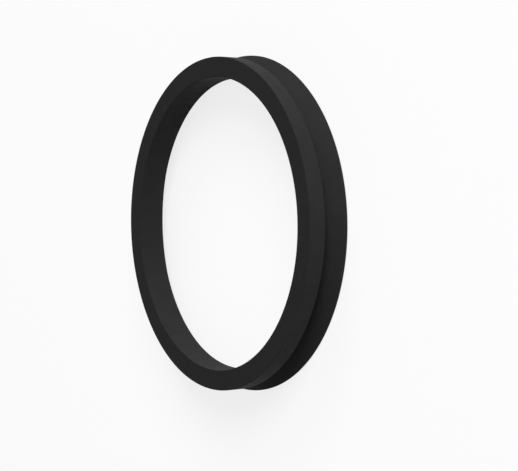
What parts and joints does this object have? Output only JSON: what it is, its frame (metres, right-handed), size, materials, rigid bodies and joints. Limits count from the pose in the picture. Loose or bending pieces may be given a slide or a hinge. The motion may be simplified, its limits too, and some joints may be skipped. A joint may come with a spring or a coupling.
{
  "type": "v-ring shaft seal",
  "caption": "Black rubber V-ring seal: a square-edged body that grips a shaft by its bore, a V-shaped outer groove and a thin conical lip that seals against a flat face.",
  "frame": {"origin": "on the ring's axis, in the plane that the tip of the lip rests on", "axes": "+Z along the ring's axis, from the sealing lip towards the back face; X and Y are any two radial directions"},
  "size_m": [0.1042, 0.1042, 0.0127],
  "materials": {
    "rubber": "matte"
  },
  "bodies": {
    "root": {"v_ring": "rubber"}
  },
  "joints": []
}
